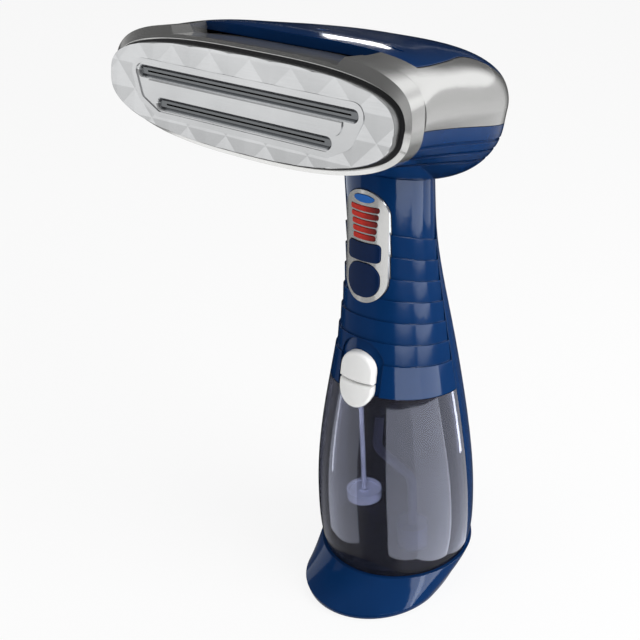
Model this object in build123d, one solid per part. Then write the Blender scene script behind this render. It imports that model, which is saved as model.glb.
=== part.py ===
from build123d import *

# Hand-held garment steamer: a wide steam head on a banded handle, with a smoked
# water tank that stands in a foot.
#
# Frame: +Z up, the steam plate faces -Y, and the origin is on the underside of the
# foot, below the front of the neck. All sizes are in millimetres. The head is drawn in
# its own axes (x, u, v): u runs back from the plate, v runs up in the plate's plane.

import os
from functools import cache
from math import atan, cos, degrees, exp, pi, radians, sin, sqrt

os.makedirs("parts", exist_ok=True)

# ------------------------------------------------------------ driving dimensions

# general
WALL = 2.4                 # moulded walls
SEAM = 0.3                 # gap between mouldings that meet
FIT = 0.25                 # clearance round a piece in its opening
SEAT = 0.1                 # gap under a piece that rests in a curved bed
SPLIT_Y = 25.5             # plane between the front mouldings and the rear housing

# column: tank, grip and neck share one flowing form
NECK_HALF_WIDTH = 22.2
NECK_HALF_DEPTH = 19.4
BELLY_HALF_WIDTH = 41.2
BELLY_HALF_DEPTH = 41.8
WIDTH_FLARE_LOW = 43.3     # heights between which the width and depth change
WIDTH_FLARE_HIGH = 203.3
DEPTH_FLARE_LOW = 48.3
DEPTH_FLARE_HIGH = 228.3
COLUMN_Y = 17.0            # centre of the column
BOW = 2.4                  # how far the grip bows back
BOW_HEIGHT = 143.3
BOW_SPREAD = 45.0
TUCK = 2.2                 # how far the belly draws in at the foot
TUCK_START = 37.3
COLUMN_TOP = 265.3
NECK_RING = 228.0
RING_POINTS = 14

# foot
DECK = 16.3                # flat top of the foot, which the tank stands on
SOLE = 1.2                 # rubber sole
FOOT_RIM = 0.5             # height of the foot's lower rim over the table
FOOT_EDGE = 3.4            # height of the foot's thin edge
FOOT_HALF_WIDTH = 36.8
FOOT_CENTRE_Y = -2.0
FOOT_TOE = 40.6            # from the foot's widest place to its toe
FOOT_HEEL = 62.0
FOOT_LEDGE = 1.6           # how far the deck stands out round the tank
BASE_PLATE = 2.0

# bands on the grip: planes that fan about a line behind the handle
FAN_Y = 410.0
FAN_Z = 47.3
TANK_TOP = 118.5           # height of each plane over the origin
BAND_START = 135.5
BAND_PITCH = 11.3
BAND_COUNT = 6
BAND_STEP = 0.8            # ledge at each band's top

# tank
TANK_WALL = 2.4
LID = 3.0
FLOAT_Y = -10.0
STEM_RADIUS = 1.2
HOSE_RADIUS = 2.5
HOSE_BORE = 1.5
INTAKE_RADIUS = 8.0
INTAKE_HEIGHT = 13.0
VALVE_RADIUS = 11.0
VALVE_Y = 8.0
INTAKE_X = 15.0
INTAKE_Y = 11.0
INTAKE_BEND_Z = 61.3
CAP_Z = 61.3               # filter cartridge: height of its cap's top
CAP_RADIUS = 8.8
CAP_HEIGHT = 5.0
CUP_RADIUS = 8.2
CUP_LOW = 27.3
COLLAR_DEPTH = 6.0
COLLAR_WALL = 2.0
VALVE_DEPTH = 16.0
CATCH_PROUD = 2.2

# control panel on the neck
PANEL_HALF_WIDTH = 12.3
PANEL_LOW = 167.9
PANEL_HIGH = 224.1
PANEL_PROUD = 0.9
PANEL_BED = 1.5            # depth of the panel below the skin
PANEL_LEDGE = 2.6
LIGHT_COUNT = 5
LIGHT_TOP = 214.9
LIGHT_PITCH = 3.5
LIGHT_HEIGHT = 2.4
LIGHT_LENGTH_TOP = 16.0
LIGHT_LENGTH_LOW = 12.4
LENS_HALF_WIDTH = 5.6
LENS_HALF_HEIGHT = 1.9
LENS_Z = 219.9
SETTING_WIDTH = 18.0
SETTING_HEIGHT = 9.0
SETTING_Z = 193.6
STEAM_WIDTH = 17.8
STEAM_HEIGHT = 17.0
STEAM_Z = 179.6
BUTTON_PROUD = 1.7
BUTTON_TRAVEL = 1.2

# tank latch and its catch
LATCH_HALF_WIDTH = 9.8
LATCH_LOW = 113.9
LATCH_SPLIT = 126.4
LATCH_HIGH = 142.5
LATCH_PROUD = 2.6
LATCH_TRAVEL = 3.0
LATCH_BED = 1.2
LATCH_ROUND = 1.6

LATCH_GAP = 1.0            # groove between the pad and the catch under it
LATCH_ROOM = 2.8           # room beside the pad in its bed
LATCH_TOP_ROOM = 6.2       # and over it, more than its travel
TAB_HALF_WIDTH = 4.0
TAB_LOW = 128.8
TAB_HIGH = 134.3
TAB_BACK = 1.0
SPRING_TOP = 146.3
SPRING_WIRE = 0.7
SPRING_WIDTH = 3.0
SPRING_LEAVES = 8

# inside the handle
FLOOR = 2.4                # handle floor over the tank
SEAT_RADIUS = 9.0
SEAL_RADIUS = 7.5
SEAL_HEIGHT = 1.6
SCREW_RADIUS = 1.5
SCREW_HEAD = 2.9
SCREW_GRIP = 3.5
SCREW_X = (17.0, 12.5)
SCREW_Z = (155.3, 208.3)
POST_RADIUS = 3.2
POST_LENGTH = 10.0
RIB = 1.8
BOARD_Y = 7.0
BOARD_THICK = 1.6
BOARD_HALF = 12.0
BOARD_POST_X = 9.0
BOARD_POSTS_Z = (172.3, 220.3)
BOARD_POST_RADIUS = 2.0
SWITCH_HEIGHT = 2.0
BUTTON_BED = 2.6
BUTTON_STEM = 2.0
PUMP_Y = 14.0
PUMP_LOW = 143.3
PUMP_LENGTH = 24.0
PUMP_RADIUS = 9.5
CRADLE_WALL = 2.6

# cord inlet and base
INLET_Z = 26.0
INLET_RADIUS = 6.4
INLET_BORE = 3.6
INLET_LENGTH = 10.0
INLET_PROUD = 3.0
BASE_SCREW_X = 26.0
BASE_SCREW_Y = (-8.0, 36.0)

# head, in its own axes
PLATE_Y = -79.0            # plate plane's centre in the row's frame
PLATE_Z = 288.3
PLATE_TILT = 10.4
PLATE_HALF_WIDTH = 74.4
PLATE_UP = 17.9
PLATE_DOWN = 20.8
PLATE_PROUD = 1.5
PLATE_BACK_U = 3.4
PLATE_ROUND = 0.9
GASKET_PROUD = 1.1
CHANNEL_FLOOR = 2.6
NOTCH_SLOPE = 3.2
FLANGE = 2.0
FLANGE_HALF_WIDTH = 64.0
FLANGE_UP = 13.8
FLANGE_DOWN = 17.0
EAR_X = 68.0
BRIDGE_HALF = 46.0
BRIDGE_DEPTH = 5.0
BRIDGE_END_U = 27.4
VISOR_LIP = 5.0
VISOR_RAKE = 0.35          # how far the visor's front leans back per millimetre down
DIMPLE_U = 49.0
DIMPLE_RADIUS = 3.0
DIMPLE_DEPTH = 1.0
COVER_SLOT_X = 44.0
COVER_SLOT_U = 38.0
COVER_SLOT_LENGTH = 9.0
SPIGOT = 4.5

# steam works in the head
CHAMBER_HALF = 62.0
CHAMBER_UP = 13.0
CHAMBER_DOWN = 16.0
CHAMBER_BACK_U = 15.5
CHAMBER_V = -1.5
POCKET_HALF = 25.0
ELEMENT_RADIUS = 3.2
ELEMENT_HALF = 9.0
ELEMENT_X = 54.0
ELEMENT_END_X = 28.0
ELEMENT_OUT_U = 29.0
COVER_SCREW_X = 29.0
NIPPLE = 6.0
THERMOSTAT_X = 46.0
FUSE_X = 57.0
SHIELD_U = 31.0
SHIELD_HALF = 50.0
SHIELD_V = 13.0
SHIELD_POST_X = 36.2
CHANNEL_HEIGHT = 6.4
CHANNEL_DEPTH = 2.2
UPPER_HALF_LENGTH = 58.6
UPPER_V = 3.4
LOWER_HALF_LENGTH = 47.1
LOWER_V = -8.7
SLIT = 0.7
LOOP_DEPTH = 0.6           # shallow loop that joins the ends of the two channels
LOOP_BULGE_X = 51.6
LOOP_BULGE_V = -4.2
LOOP_BULGE_RADIUS = 3.8
LOOP_RIM = 2.2             # flat rim round the loop
BAR_HALF = 51.0            # bar inside the loop
BAR_ROUND = 4.5
FACET_PITCH = 21.1         # diamond facets across the plate, corner to corner
FACET_X = -27.8            # one corner of the diamonds
FACET_V = -15.2
FACET_DEPTH = 0.4
FACET_CREST = 0.03         # how far the crests lie under the flat rim
GASKET = 1.5
BEZEL_RIDGE_U = 5.0
BEZEL_HALF_WIDTH = 77.8
BEZEL_UP = 24.7
BEZEL_DOWN = 24.3
SQUARE_BEZEL = 3.1
BEZEL_BACK_U = 16.0
HEAD_HALF_WIDTH = 76.0
HEAD_UP = 24.4
HEAD_DOWN = 24.6
SQUARE_FRONT = 3.4         # squareness of the upper half at the bezel,
SQUARE_VISOR = 3.8         # at the visor
SQUARE_REAR = 2.6          # and at the rear
SQUARE_LOWER = 2.3         # squareness of the lower half
HEAD_END_U = 149.5
NOSE_U = 80.0
TAIL_HALF_WIDTH = 50.0
WIDTH_FALL = 84.0
CROWN = 25.3
CROWN_FALL = 0.072
BELLY_FALL = 0.24
SIDE_FALL = 0.065
VISOR_SHAPE_U = 26.0
CROWN_U = 40.0             # where the crown is highest
NOTCH_HALF_WIDTH = 44.0
NOTCH_DEPTH = 3.7
SEAM_V = -0.5              # silver seam at the bezel, and its fall per millimetre
SEAM_FALL = 0.122
VISOR_U = 26.0
COVER_EDGE_V = 19.8
COVER_EDGE_FALL = 0.03
COVER_EDGE_DROP = 19.0
GROOVE_COUNT = 3
GROOVE_START = 6.2           # first groove below the silver seam
GROOVE_PITCH = 4.8
GROOVE_WIDTH = 1.5
GROOVE_DEPTH = 0.9


# ------------------------------------------------------------ shared forms


def smooth_step(value, low, high):
    """Nought below low, one above high, and a smooth rise between them."""
    share = min(max((value - low) / (high - low), 0.0), 1.0)
    return share * share * (3 - 2 * share)


def tuck(z):
    drop = max(TUCK_START - z, 0.0) / (TUCK_START - DECK)
    return TUCK * min(drop, 1.3) ** 2


def half_width(z):
    share = smooth_step(z, WIDTH_FLARE_LOW, WIDTH_FLARE_HIGH)
    return BELLY_HALF_WIDTH + (NECK_HALF_WIDTH - BELLY_HALF_WIDTH) * share - tuck(z)


def half_depth(z):
    share = smooth_step(z, DEPTH_FLARE_LOW, DEPTH_FLARE_HIGH)
    return BELLY_HALF_DEPTH + (NECK_HALF_DEPTH - BELLY_HALF_DEPTH) * share - tuck(z)


def centre_y(z):
    return COLUMN_Y + BOW * exp(-(((z - BOW_HEIGHT) / BOW_SPREAD) ** 2))


def fan_slope(height):
    """Fall per millimetre towards the rear of the fan plane at this height."""
    return (height - FAN_Z) / FAN_Y


def fan_plane(height):
    slope = fan_slope(height)
    return Plane(origin=(0, 0, height), x_dir=(1, 0, 0), z_dir=(0, slope, 1))


def ring(height, slope=0.0, inset=0.0):
    """Outline of the column where the plane z = height - slope * y cuts it."""
    points = []
    for step in range(RING_POINTS):
        angle = 2 * pi * step / RING_POINTS
        z = height
        for _ in range(5):
            y = centre_y(z) + (half_depth(z) - inset) * sin(angle)
            z = height - slope * y
        points.append(((half_width(z) - inset) * cos(angle), y, z))
    return Wire(Spline(points, periodic=True))


@cache
def column(inset=0.0):
    """The whole column as one solid, drawn in by inset all round."""
    heights = [0, DECK, 27, 39, 53, 71, 91, 111, 131, 151, 173, 198, 228, COLUMN_TOP]
    return Solid.make_loft([ring(z, inset=inset) for z in heights])


def block(x, y, z):
    """Axis-aligned box from its three (low, high) spans."""
    size = [span[1] - span[0] for span in (x, y, z)]
    middle = [(span[1] + span[0]) / 2 for span in (x, y, z)]
    return Pos(*middle) * Box(*size)


def above(plane, size=500.0):
    """Half space on the plane's normal side, as a large block."""
    return plane.location * Pos(0, 0, size / 2) * Box(size, size, size)


def front_zone(outline, reach=90.0):
    """Prism through the front of the handle, from an outline drawn in x and z."""
    plane = Plane(origin=(0, centre_y(0), 0), x_dir=(1, 0, 0), z_dir=(0, -1, 0))
    return extrude(plane * outline, amount=reach)


def upright_slot(half_width_, low, high):
    """Obround standing upright between two heights."""
    return Pos(0, (low + high) / 2) * Rot(0, 0, 90) * SlotOverall(high - low, 2 * half_width_)


HEAD_PLACE = Pos(0, PLATE_Y, PLATE_Z) * Rot(-PLATE_TILT, 0, 0)


def in_head(shape):
    """Move a shape from the head's own axes to the row's frame."""
    return HEAD_PLACE * shape


def head_point(x, u, v):
    """Point of the head's axes in the row's frame."""
    tilt = radians(PLATE_TILT)
    return Vector(x, PLATE_Y + u * cos(tilt) + v * sin(tilt), PLATE_Z - u * sin(tilt) + v * cos(tilt))


def head_plane(u):
    """Drawing plane across the head at depth u, with x across and v up."""
    return Plane(origin=(0, u, 0), x_dir=(1, 0, 0), z_dir=(0, -1, 0))


def egg(half, up, down, power_up, power_down, count=40):
    """Closed outline in x and v: upper and lower halves are superellipses."""
    points = []
    for step in range(count):
        angle = 2 * pi * step / count
        power, height = (power_up, up) if sin(angle) >= 0 else (power_down, down)
        reach = lambda part: abs(part) ** (2 / power) * (1 if part >= 0 else -1)
        points.append((half * reach(cos(angle)), height * reach(sin(angle))))
    return Spline(points, periodic=True)


def egg_prism(half, up, down, low_u, high_u):
    """Prism of the plate's egg outline between two depths."""
    face = make_face(egg(half, up, down, 3.0, 2.5))
    return extrude(head_plane(high_u) * face, amount=high_u - low_u)


def side_line(u):
    """Height v of the head's widest line."""
    return SEAM_V - SIDE_FALL * (u - BEZEL_BACK_U)


def seam_line(u):
    """Height v of the seam between the silver band and the navy lower shell."""
    return SEAM_V - SEAM_FALL * (u - BEZEL_BACK_U)


def head_ring(u, inset=0.0):
    """Section of the head at depth u, drawn in by inset."""
    end = HEAD_END_U - inset
    share = max(u - NOSE_U, 0.0) / (end - NOSE_U)
    nose = (1 - share**2.4) ** (1 / 2.4)
    middle = side_line(u)
    half = TAIL_HALF_WIDTH + (HEAD_HALF_WIDTH - TAIL_HALF_WIDTH) * exp((BEZEL_BACK_U - u) / WIDTH_FALL)
    rise = (CROWN - HEAD_UP) * smooth_step(u, BEZEL_BACK_U, CROWN_U)
    up = HEAD_UP + rise - CROWN_FALL * max(u - CROWN_U, 0) - middle
    down = HEAD_DOWN + BELLY_FALL * (u - BEZEL_BACK_U) + middle
    square = SQUARE_FRONT + (SQUARE_VISOR - SQUARE_FRONT) * smooth_step(u, BEZEL_BACK_U, VISOR_SHAPE_U)
    square += (SQUARE_REAR - SQUARE_VISOR) * smooth_step(u, CROWN_U, HEAD_END_U)
    outline = egg((half - inset) * nose, (up - inset) * nose, (down - inset) * nose, square, SQUARE_LOWER, 24)
    return Wire(head_plane(u) * Pos(0, middle) * outline)


@cache
def head_form(inset=0.0):
    """The head behind its bezel as one solid, drawn in by inset."""
    depths = [BEZEL_BACK_U, 26, 38, 52, 66, NOSE_U]
    for angle in (16, 31, 45, 58, 70, 81):
        depths.append(NOSE_U + (HEAD_END_U - inset - NOSE_U) * sin(radians(angle)))
    end = HEAD_END_U - inset
    tip = Vertex(0, end, side_line(end))
    return Solid.make_loft([head_ring(u, inset) for u in depths] + [tip])



def cover_edge(u):
    """Height v of the top cover's lower edge."""
    return COVER_EDGE_V - COVER_EDGE_FALL * (u - VISOR_U) - COVER_EDGE_DROP * smooth_step(u, NOSE_U, HEAD_END_U)


def above_cover_edge(lower=0.0):
    """Block over the line that parts the top cover from the silver band."""
    line = Spline([(u, cover_edge(u) - lower) for u in range(5, 186, 15)])
    lid = Polyline(line @ 1, (185, 90), (5, 90), line @ 0)
    face = make_face(line + lid)
    return extrude(Plane.YZ * face, amount=120, both=True)


def seam_plane(drop=0.0):
    """Plane of the silver seam, or of a groove that lies below it by drop."""
    return Plane(origin=(0, BEZEL_BACK_U, SEAM_V - drop), x_dir=(1, 0, 0), z_dir=(0, SEAM_FALL, 1))


def front_half(gap=0.0):
    return block((-200, 200), (-200, SPLIT_Y - gap), (-50, 400))


def rear_half(gap=0.0):
    return block((-200, 200), (SPLIT_Y + gap, 200), (-50, 400))


def rod(start, radius, length, direction=(0, 0, 1)):
    """Cylinder from a point along a direction."""
    plane = Plane(origin=start, z_dir=direction)
    return extrude(plane * Circle(radius), amount=length)


def tube(points, bend, radius, bore=0.0):
    """Hose or bent rod through points, with its corners rounded to the bend radius."""
    path = FilletPolyline(*points, radius=bend) if len(points) > 2 else Line(*points)
    section = Circle(radius) - Circle(bore) if bore else Circle(radius)
    return sweep(Plane(path @ 0, z_dir=path % 0) * section, path=path)


def main_solid(shape):
    """The one body of a shape, without the empty wrapper round it."""
    return shape.solids().sort_by(SortBy.VOLUME)[-1]


def save(name, *solids):
    """Write one node; several solids make a group."""
    shape = solids[0] if len(solids) == 1 else Compound(children=list(solids))
    export_step(shape, f"parts/{name}.step")


# ------------------------------------------------------------ water tank


FORM = column()
GRIP_CAVITY = column(WALL + BAND_STEP)
TANK_PLANE = fan_plane(TANK_TOP)
TANK_NORMAL = TANK_PLANE.z_dir


def on_tank_plane(y, depth=0.0):
    """Point under the tank's top plane, at this y and depth below it."""
    point = Vector(0, y, TANK_TOP - fan_slope(TANK_TOP) * y)
    return point - TANK_NORMAL * depth


def latch_zone(low, high, grow=0.0):
    """Prism of the latch's obround between two heights."""
    outline = upright_slot(LATCH_HALF_WIDTH + grow, LATCH_LOW - grow, LATCH_HIGH + grow)
    cut = Pos(0, (low + high) / 2) * Rectangle(80, high - low)
    return front_zone(outline & cut)


def rounded_front(pad):
    """The pad with the edge of its front face rounded."""
    pad = main_solid(pad)
    front = min(pad.faces(), key=lambda face: face.center().Y)
    return fillet(front.edges(), LATCH_ROUND)


def make_tank():
    """Smoked shell, its lid, the catch on its front and what stands in it."""
    standing = above(Plane.XY.offset(DECK + SEAM)) - above(TANK_PLANE)
    outer = FORM & standing & front_half()
    room = column(TANK_WALL) & above(Plane.XY.offset(DECK + SEAM + TANK_WALL))
    shell = outer - (room & front_half(TANK_WALL))

    lid = column(TANK_WALL + FIT) & front_half(TANK_WALL + FIT)
    lid = (lid & above(TANK_PLANE.offset(-LID))) - above(TANK_PLANE)
    collar = rod(on_tank_plane(VALVE_Y, LID + COLLAR_DEPTH), VALVE_RADIUS + COLLAR_WALL, COLLAR_DEPTH + LID / 2, TANK_NORMAL)
    lid = lid + collar
    lid -= rod(on_tank_plane(VALVE_Y, 40), VALVE_RADIUS + FIT, 60, TANK_NORMAL)

    cap = rod(on_tank_plane(VALVE_Y, VALVE_DEPTH), VALVE_RADIUS, VALVE_DEPTH, TANK_NORMAL)
    cap -= rod(on_tank_plane(VALVE_Y, VALVE_DEPTH + 1), HOSE_RADIUS, VALVE_DEPTH + 2, TANK_NORMAL)
    cap -= rod(on_tank_plane(VALVE_Y, 2.0), VALVE_RADIUS * 0.6, 4.0, TANK_NORMAL)

    catch = rounded_front((column(-CATCH_PROUD) - column(0.0)) & latch_zone(LATCH_LOW, LATCH_SPLIT))
    root = (column(-0.1) - column(LATCH_BED)) & latch_zone(LATCH_LOW, LATCH_SPLIT)
    shell -= latch_zone(LATCH_LOW - 5, TANK_TOP + 20, FIT) - column(LATCH_BED + FIT)
    catch = catch + root

    save("tank_shell", main_solid(shell))
    save("tank_lid", main_solid(lid))
    save("valve_cap", main_solid(cap))
    save("tank_catch", main_solid(catch))

    top = on_tank_plane(FLOAT_Y, LID + SEAM)
    stem = rod((0, FLOAT_Y, CAP_Z), STEM_RADIUS, top.Z - CAP_Z - 0.5)
    disc = rod((0, FLOAT_Y, CAP_Z - CAP_HEIGHT), CAP_RADIUS, CAP_HEIGHT)
    dish = rod((0, FLOAT_Y, CAP_Z - 1.0), CAP_RADIUS - 1.6, 2.0) - rod((0, FLOAT_Y, 0), STEM_RADIUS + 1.2, 100)
    filter_cap = disc - dish + stem
    cup = rod((0, FLOAT_Y, CUP_LOW), CUP_RADIUS, CAP_Z - CAP_HEIGHT - FIT - CUP_LOW)
    cup = fillet(cup.edges().sort_by(Axis.Z)[0], CUP_RADIUS * 0.45)
    cup -= rod((0, FLOAT_Y, CAP_Z - CAP_HEIGHT - 8), CUP_RADIUS - 1.5, 20)
    save("filter_cap", main_solid(filter_cap))
    save("filter_cup", main_solid(cup))

    floor = DECK + SEAM + TANK_WALL
    route = [on_tank_plane(VALVE_Y, VALVE_DEPTH - 3), on_tank_plane(VALVE_Y, 38)]
    route += [(INTAKE_X, INTAKE_Y, INTAKE_BEND_Z), (INTAKE_X, INTAKE_Y, floor + 4)]
    hose = tube(route, 9, HOSE_RADIUS - 0.1, HOSE_BORE)
    save("intake_hose", main_solid(hose))
    weight = rod((INTAKE_X, INTAKE_Y, floor + SEAM), INTAKE_RADIUS, INTAKE_HEIGHT)
    weight -= rod((INTAKE_X, INTAKE_Y, floor + 4), HOSE_RADIUS, 30)
    save("intake_weight", main_solid(weight))



# ------------------------------------------------------------ handle and rear housing


def curved_plate(zone, proud, bed):
    """Slice of the column's skin inside a prism, from proud over it to bed under it."""
    return (column(-proud) - column(bed)) & zone


def panel_zone(grow=0.0):
    return front_zone(upright_slot(PANEL_HALF_WIDTH + grow, PANEL_LOW - grow, PANEL_HIGH + grow))


def rounded_zone(z, width, height, corner, grow=0.0):
    """Prism of a rounded rectangle centred at height z."""
    size = (width + 2 * grow, height + 2 * grow)
    return front_zone(Pos(0, z) * RectangleRounded(*size, corner + grow))


def setting_zone(grow=0.0):
    return rounded_zone(SETTING_Z, SETTING_WIDTH, SETTING_HEIGHT, 2.0, grow)


def steam_zone(grow=0.0):
    return rounded_zone(STEAM_Z, STEAM_WIDTH, STEAM_HEIGHT, 7.4, grow)


def light_zones(grow=0.0):
    """Prisms of the level lights, which get shorter towards the bottom."""
    zones = []
    for index in range(LIGHT_COUNT):
        share = index / (LIGHT_COUNT - 1)
        length = LIGHT_LENGTH_TOP + (LIGHT_LENGTH_LOW - LIGHT_LENGTH_TOP) * share
        z = LIGHT_TOP - index * LIGHT_PITCH
        zones.append(rounded_zone(z, length, LIGHT_HEIGHT, 0.9, grow))
    return zones


def lens_zone(grow=0.0):
    return front_zone(Pos(0, LENS_Z) * Ellipse(LENS_HALF_WIDTH + grow, LENS_HALF_HEIGHT + grow))


def banded_form():
    """Grip and neck: each band ends in a ledge that looks up, and they fan to the front."""
    plain = FORM & above(fan_plane(TANK_TOP).offset(SEAM))
    form = plain - above(fan_plane(BAND_START))
    for index in range(BAND_COUNT):
        low = BAND_START + index * BAND_PITCH
        high = low + BAND_PITCH
        rings = [ring(low, fan_slope(low), BAND_STEP), ring(high, fan_slope(high))]
        form = form + Solid.make_loft(rings, True)
    neck_low = BAND_START + BAND_COUNT * BAND_PITCH
    rings = [ring(neck_low, fan_slope(neck_low), BAND_STEP), ring(NECK_RING), ring(COLUMN_TOP)]
    return form + Solid.make_loft(rings)


def screw_spots():
    """Points on the split plane where the rear screws pull the two mouldings together."""
    return [(side * x, z) for x, z in zip(SCREW_X, SCREW_Z) for side in (-1, 1)]


def wall_rib(x, z, y_span):
    """Rib from a screw post out to the side wall."""
    outer = 40.0 if x > 0 else -40.0
    return block((min(x, outer), max(x, outer)), y_span, (z - RIB / 2, z + RIB / 2))


def handle_posts():
    """Screw posts, board posts and the stop of the latch spring, before trimming."""
    posts = []
    for x, z in screw_spots():
        post = rod((x, SPLIT_Y - POST_LENGTH, z), POST_RADIUS, POST_LENGTH, (0, 1, 0))
        posts.append(post + wall_rib(x, z, (SPLIT_Y - POST_LENGTH, SPLIT_Y)))
    for z in BOARD_POSTS_Z:
        for side in (-1, 1):
            posts.append(rod((side * BOARD_POST_X, BOARD_Y - 15, z), BOARD_POST_RADIUS, 15, (0, 1, 0)))
    span = (-TAB_HALF_WIDTH, TAB_HALF_WIDTH)
    posts.append(block(span, (-12, TAB_BACK), (SPRING_TOP + FIT, SPRING_TOP + 3)))
    return posts


def make_handle_front():
    """Banded front moulding with its window, latch bed, floor and screw posts."""
    floor_plane = TANK_PLANE.offset(SEAM + FLOOR)
    shell = banded_form() & front_half()
    shell -= [GRIP_CAVITY & above(floor_plane), in_head(head_form(-SEAM))]
    posts = [post & column(PANEL_BED) for post in handle_posts()]
    shell += posts
    bed = panel_zone(FIT) - column(PANEL_BED + SEAT)
    bed_top = LATCH_HIGH + LATCH_TOP_ROOM
    bed_outline = upright_slot(LATCH_HALF_WIDTH + LATCH_ROOM, LATCH_LOW - LATCH_ROOM, bed_top)
    latch_bed = front_zone(bed_outline) - column(LATCH_BED + FIT)
    tab_span = (-TAB_HALF_WIDTH - FIT, TAB_HALF_WIDTH + FIT)
    slot = block(tab_span, (-60, TAB_BACK - 1), (TAB_LOW - FIT, TAB_HIGH + LATCH_TRAVEL + FIT))
    seat = rod(on_tank_plane(VALVE_Y, 5), SEAT_RADIUS + FIT, 20, TANK_NORMAL)
    bores = [rod((x, SPLIT_Y - POST_LENGTH + 2, z), SCREW_RADIUS, 40, (0, 1, 0)) for x, z in screw_spots()]
    window = panel_zone(-PANEL_LEDGE) & front_half(SPLIT_Y - BOARD_Y + 2)
    shell -= [bed, latch_bed, slot, seat, window, *bores]
    save("handle_front", main_solid(shell))


def make_panel():
    """Silver trim with the level lights, the lens and the two buttons in it."""
    panel = curved_plate(panel_zone(), PANEL_PROUD, PANEL_BED)
    for zone in [setting_zone(FIT), steam_zone(FIT), lens_zone(FIT), *light_zones(FIT)]:
        panel -= zone
    save("control_panel", main_solid(panel))
    save("indicator_lens", main_solid(curved_plate(lens_zone(), PANEL_PROUD + 0.4, PANEL_BED)))
    bars = [main_solid(curved_plate(zone, PANEL_PROUD + 0.3, PANEL_BED + 1)) for zone in light_zones()]
    save("level_lights", *bars)
    for name, zone, inner, z in (
        ("setting_button", setting_zone(), setting_zone(-1.4), SETTING_Z),
        ("steam_button", steam_zone(), steam_zone(-1.4), STEAM_Z),
    ):
        button = curved_plate(zone, BUTTON_PROUD, BUTTON_BED)
        stem = rod((0, -2, z), BUTTON_STEM, BOARD_Y - SWITCH_HEIGHT - BUTTON_TRAVEL - FIT + 2, (0, 1, 0))
        save(name, main_solid(button + (stem & column(1.0))))


def make_latch():
    """Pearl pad that slides up, its tab through the slot, and the spring over the tab."""
    zone = latch_zone(LATCH_SPLIT + LATCH_GAP, LATCH_HIGH)
    pad = rounded_front((column(-LATCH_PROUD) - column(LATCH_BED)) & zone)
    tab = block((-TAB_HALF_WIDTH, TAB_HALF_WIDTH), (-30, TAB_BACK), (TAB_LOW, TAB_HIGH)) & column(0.2)
    save("tank_latch", main_solid(pad + tab))
    rise = (SPRING_TOP - TAB_HIGH - SPRING_WIRE) / SPRING_LEAVES
    reach = TAB_HALF_WIDTH - 1.0
    plane = Plane(origin=(0, TAB_BACK - 0.5, 0), x_dir=(1, 0, 0), z_dir=(0, -1, 0))
    strip = None
    for index in range(SPRING_LEAVES):
        side = 1 if index % 2 else -1
        low = TAB_HIGH + rise * index
        leaf = [(side * reach, low), (-side * reach, low + rise)]
        leaf += [(-side * reach, low + rise + SPRING_WIRE), (side * reach, low + SPRING_WIRE)]
        solid = extrude(plane * make_face(Polyline(*leaf, close=True)), amount=SPRING_WIDTH)
        strip = solid if strip is None else strip + solid
    save("latch_spring", main_solid(strip))


def foot_ring(z, inset=0.0):
    """Outline of the foot at a height: a rounded toe in front and a fuller heel."""
    points = []
    for step in range(RING_POINTS):
        angle = 2 * pi * step / RING_POINTS
        reach = FOOT_HEEL if sin(angle) > 0 else FOOT_TOE
        x = (FOOT_HALF_WIDTH - inset) * cos(angle)
        points.append((x, FOOT_CENTRE_Y + (reach - inset) * sin(angle), z))
    return points


def foot_form(inset=0.0):
    """Foot as one solid: thin edge, then a sweep up to the deck round the tank."""
    deck = []
    middle = []
    for index, edge in enumerate(foot_ring(FOOT_EDGE, inset)):
        angle = 2 * pi * index / RING_POINTS
        x = (half_width(DECK) + FOOT_LEDGE - inset) * cos(angle)
        y = centre_y(DECK) + (half_depth(DECK) + FOOT_LEDGE - inset) * sin(angle)
        deck.append((x, y, DECK - inset))
        share = 0.5
        middle.append((edge[0] + (x - edge[0]) * share, edge[1] + (y - edge[1]) * share, FOOT_EDGE + (DECK - inset - FOOT_EDGE) * 0.4))
    wires = [foot_ring(FOOT_EDGE, inset), middle, deck]
    top = Solid.make_loft([Wire(Spline(points, periodic=True)) for points in wires])
    rim = [foot_ring(FOOT_RIM, inset + 0.8), foot_ring(FOOT_EDGE, inset)]
    base = Solid.make_loft([Wire(Spline(points, periodic=True)) for points in rim], True)
    return base + top


def make_rear_housing():
    """Spine behind the tank and grip, in one moulding with the foot."""
    spine = FORM & rear_half(SEAM) & above(Plane.XY.offset(DECK - 1))
    spine -= in_head(head_form(-SEAM))
    foot = foot_form()
    body = spine + foot
    roof = fan_plane(TANK_TOP)
    tank_side = column(WALL) & rear_half(SEAM + WALL) & above(Plane.XY.offset(-5))
    body -= tank_side
    body -= (GRIP_CAVITY & rear_half(0)) & above(roof)
    body -= foot_form(WALL) & block((-99, 99), (-99, 99), (-1, DECK - WALL))
    body -= block((-99, 99), (-99, 99), (-5, FOOT_RIM))
    for x, z in screw_spots():
        post = rod((x, SPLIT_Y + SEAM, z), POST_RADIUS + 0.6, 60, (0, 1, 0))
        post += wall_rib(x, z, (SPLIT_Y + SEAM, SPLIT_Y + POST_LENGTH))
        body += post & column(WALL / 2)
        body -= rod((x, SPLIT_Y, z), SCREW_RADIUS + FIT, 60, (0, 1, 0))
        body -= rod((x, SPLIT_Y + SEAM + SCREW_GRIP, z), SCREW_HEAD + FIT, 60, (0, 1, 0))
    for x, y in base_spots():
        post = rod((x, y, SOLE + BASE_PLATE), POST_RADIUS, DECK - 1 - SOLE - BASE_PLATE)
        body += post
        body -= rod((x, y, 0), SCREW_RADIUS + 0.1, DECK - 3)
    body -= rod((0, SPLIT_Y + 8, INLET_Z), INLET_RADIUS + 0.1, 60, (0, 1, 0))
    save("rear_housing", main_solid(body))


def base_spots():
    """Places of the base screws."""
    return [(side * BASE_SCREW_X, y) for y in BASE_SCREW_Y for side in (-1, 1)]


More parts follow.
